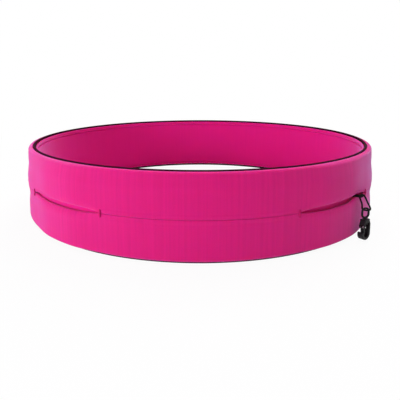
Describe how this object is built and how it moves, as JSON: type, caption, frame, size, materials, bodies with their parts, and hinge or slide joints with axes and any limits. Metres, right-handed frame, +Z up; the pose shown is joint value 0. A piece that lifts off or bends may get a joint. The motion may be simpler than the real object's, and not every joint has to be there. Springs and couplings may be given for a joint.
{
  "type": "waist pack",
  "caption": "Stretch fabric waist pack: a tubular ring of two sewn layers with edging on both rims, side pocket slits at half height and a small swivel snap hook for keys on an elastic loop.",
  "frame": {"origin": "on the waist's axis, level with the lower edging that the belt stands on", "axes": "+Z up, -Y towards the front that the pocket slits are on, +X towards the side that the key clip hangs on"},
  "size_m": [0.3982, 0.2962, 0.076],
  "materials": {
    "knit": "matte rib knit",
    "thread": "matte stitching",
    "edging": "matte cord",
    "elastic": "matte braided elastic",
    "clip_plastic": "satin moulded",
    "steel": "bright wire"
  },
  "bodies": {
    "belt": {"outer_upper_panel": "knit", "outer_lower_panel": "knit", "inner_panel": "knit", "front_seam_tape": "knit", "back_seam_tape": "knit", "top_edging": "edging", "bottom_edging": "edging", "bar_tack_left_front": "thread", "bar_tack_left_side": "thread", "bar_tack_right_front": "thread", "bar_tack_right_side": "thread", "loop_anchor": "elastic"},
    "loop": {"key_loop": "elastic"},
    "eye": {"clip_eye": "clip_plastic"},
    "hook": {"clip_hook": "clip_plastic", "gate_pin": "steel", "gate_spring": "steel"},
    "gate": {"clip_gate": "clip_plastic"}
  },
  "joints": [
    {"name": "loop_swing", "type": "hinge", "parent": "belt", "child": "loop", "pos_m": [0.14845, -0.0998, 0.04064], "axis": [-0.7713, -0.6365, 0], "range_deg": [0, 100]},
    {"name": "eye_swing", "type": "hinge", "parent": "loop", "child": "eye", "pos_m": [0.15198, -0.10407, 0.02865], "axis": [0.6287, -0.7618, 0.156], "range_deg": [-40, 40]},
    {"name": "hook_swivel", "type": "hinge", "parent": "eye", "child": "hook", "pos_m": [0.1528, -0.10508, 0.0204], "axis": [-0.0993, 0.1203, 0.9878], "continuous": true},
    {"name": "gate_hinge", "type": "hinge", "parent": "hook", "child": "gate", "pos_m": [0.15099, -0.10736, 0.01331], "axis": [0.4852, -0.8608, 0.1536], "range_deg": [0, 30], "stiffness_Nm_per_rad": 0.002, "springref_deg": -17.19}
  ]
}
